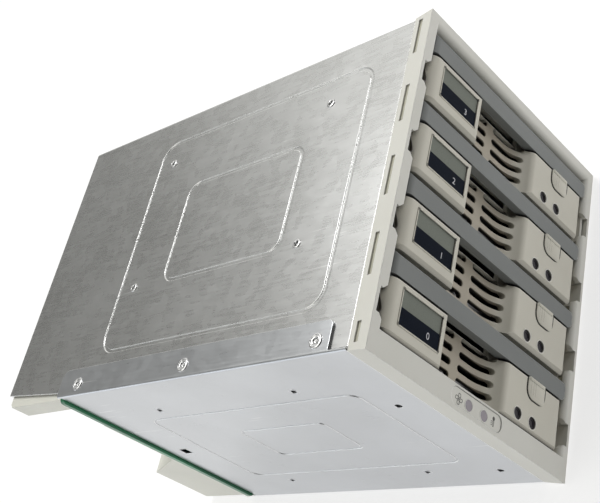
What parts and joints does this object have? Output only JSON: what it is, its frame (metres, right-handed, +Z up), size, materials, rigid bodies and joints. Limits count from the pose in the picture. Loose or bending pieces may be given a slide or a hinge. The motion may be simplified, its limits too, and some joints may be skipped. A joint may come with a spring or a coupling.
{
  "type": "hot swap drive cage",
  "caption": "Steel cage with a moulded front, sliding drive carriers with grilles, grey levers and latches, a backplane and a rear fan.",
  "frame": {"origin": "under the middle of the cage, at the height of its lowest rivet heads", "axes": "+X across the carriers from the first to the last, +Y from the front to the rear, +Z up"},
  "size_m": [0.1484, 0.2222, 0.1276],
  "materials": {
    "shell_steel": "galvanised sheet",
    "plate_steel": "brushed sheet",
    "fastener_steel": "zinc plated",
    "bezel_plastic": "fine texture",
    "carrier_plastic": "fine texture",
    "shroud_plastic": "fine texture",
    "lever_plastic": "fine texture",
    "label_panel": "smooth",
    "status_lens": "smooth",
    "carrier_lens": "smooth",
    "tray_steel": "galvanised sheet",
    "guide_plastic": "satin",
    "board_laminate": "solder mask",
    "connector_plastic": "satin",
    "power_plastic": "satin",
    "fan_plastic": "satin"
  },
  "bodies": {
    "cage": {"cage_shell": "shell_steel", "side_plate": "plate_steel", "flange_rivets_top": "fastener_steel", "flange_rivets_bottom": "fastener_steel", "guide_rivets_top": "fastener_steel", "guide_rivets_bottom": "fastener_steel", "guide_top": "guide_plastic", "guide_bottom": "guide_plastic", "front_bezel": "bezel_plastic", "status_lights": "status_lens", "backplane_board": "board_laminate", "drive_connectors": "connector_plastic", "signal_connectors": "connector_plastic", "power_connectors": "power_plastic", "rear_shroud": "shroud_plastic", "board_screws": "fastener_steel", "fan_frame": "fan_plastic", "fan_screws": "fastener_steel"},
    "fan_rotor": {"fan_rotor": "fan_plastic"},
    "carrier_0": {"carrier_face_0": "carrier_plastic", "carrier_tray_0": "tray_steel", "port_label_0": "label_panel", "carrier_lights_0": "carrier_lens", "lever_pin_0": "fastener_steel"},
    "lever_0": {"lever_0": "lever_plastic"},
    "latch_0": {"latch_0": "carrier_plastic"},
    "carrier_1": {"carrier_face_1": "carrier_plastic", "carrier_tray_1": "tray_steel", "port_label_1": "label_panel", "carrier_lights_1": "carrier_lens", "lever_pin_1": "fastener_steel"},
    "lever_1": {"lever_1": "lever_plastic"},
    "latch_1": {"latch_1": "carrier_plastic"},
    "carrier_2": {"carrier_face_2": "carrier_plastic", "carrier_tray_2": "tray_steel", "port_label_2": "label_panel", "carrier_lights_2": "carrier_lens", "lever_pin_2": "fastener_steel"},
    "lever_2": {"lever_2": "lever_plastic"},
    "latch_2": {"latch_2": "carrier_plastic"},
    "carrier_3": {"carrier_face_3": "carrier_plastic", "carrier_tray_3": "tray_steel", "port_label_3": "label_panel", "carrier_lights_3": "carrier_lens", "lever_pin_3": "fastener_steel"},
    "lever_3": {"lever_3": "lever_plastic"},
    "latch_3": {"latch_3": "carrier_plastic"}
  },
  "joints": [
    {"name": "fan_spin", "type": "hinge", "parent": "cage", "child": "fan_rotor", "pos_m": [0, 0.08985, 0.0638], "axis": [0, 1, 0], "continuous": true},
    {"name": "carrier_0_slide", "type": "slide", "parent": "cage", "child": "carrier_0", "axis": [0, -1, 0], "range_m": [0, 0.165]},
    {"name": "lever_0_swing", "type": "hinge", "parent": "carrier_0", "child": "lever_0", "pos_m": [-0.03733, -0.10675, 0.1184], "axis": [-1, 0, 0], "range_deg": [0, 75]},
    {"name": "latch_0_press", "type": "slide", "parent": "carrier_0", "child": "latch_0", "axis": [-1, 0, 0], "range_m": [0, 0.0012], "stiffness_N_per_m": 400, "springref_m": -0.0006},
    {"name": "carrier_1_slide", "type": "slide", "parent": "cage", "child": "carrier_1", "axis": [0, -1, 0], "range_m": [0, 0.165]},
    {"name": "lever_1_swing", "type": "hinge", "parent": "carrier_1", "child": "lever_1", "pos_m": [-0.00448, -0.10675, 0.1184], "axis": [-1, 0, 0], "range_deg": [0, 75]},
    {"name": "latch_1_press", "type": "slide", "parent": "carrier_1", "child": "latch_1", "axis": [-1, 0, 0], "range_m": [0, 0.0012], "stiffness_N_per_m": 400, "springref_m": -0.0006},
    {"name": "carrier_2_slide", "type": "slide", "parent": "cage", "child": "carrier_2", "axis": [0, -1, 0], "range_m": [0, 0.165]},
    {"name": "lever_2_swing", "type": "hinge", "parent": "carrier_2", "child": "lever_2", "pos_m": [0.02837, -0.10675, 0.1184], "axis": [-1, 0, 0], "range_deg": [0, 75]},
    {"name": "latch_2_press", "type": "slide", "parent": "carrier_2", "child": "latch_2", "axis": [-1, 0, 0], "range_m": [0, 0.0012], "stiffness_N_per_m": 400, "springref_m": -0.0006},
    {"name": "carrier_3_slide", "type": "slide", "parent": "cage", "child": "carrier_3", "axis": [0, -1, 0], "range_m": [0, 0.165]},
    {"name": "lever_3_swing", "type": "hinge", "parent": "carrier_3", "child": "lever_3", "pos_m": [0.06122, -0.10675, 0.1184], "axis": [-1, 0, 0], "range_deg": [0, 75]},
    {"name": "latch_3_press", "type": "slide", "parent": "carrier_3", "child": "latch_3", "axis": [-1, 0, 0], "range_m": [0, 0.0012], "stiffness_N_per_m": 400, "springref_m": -0.0006}
  ]
}
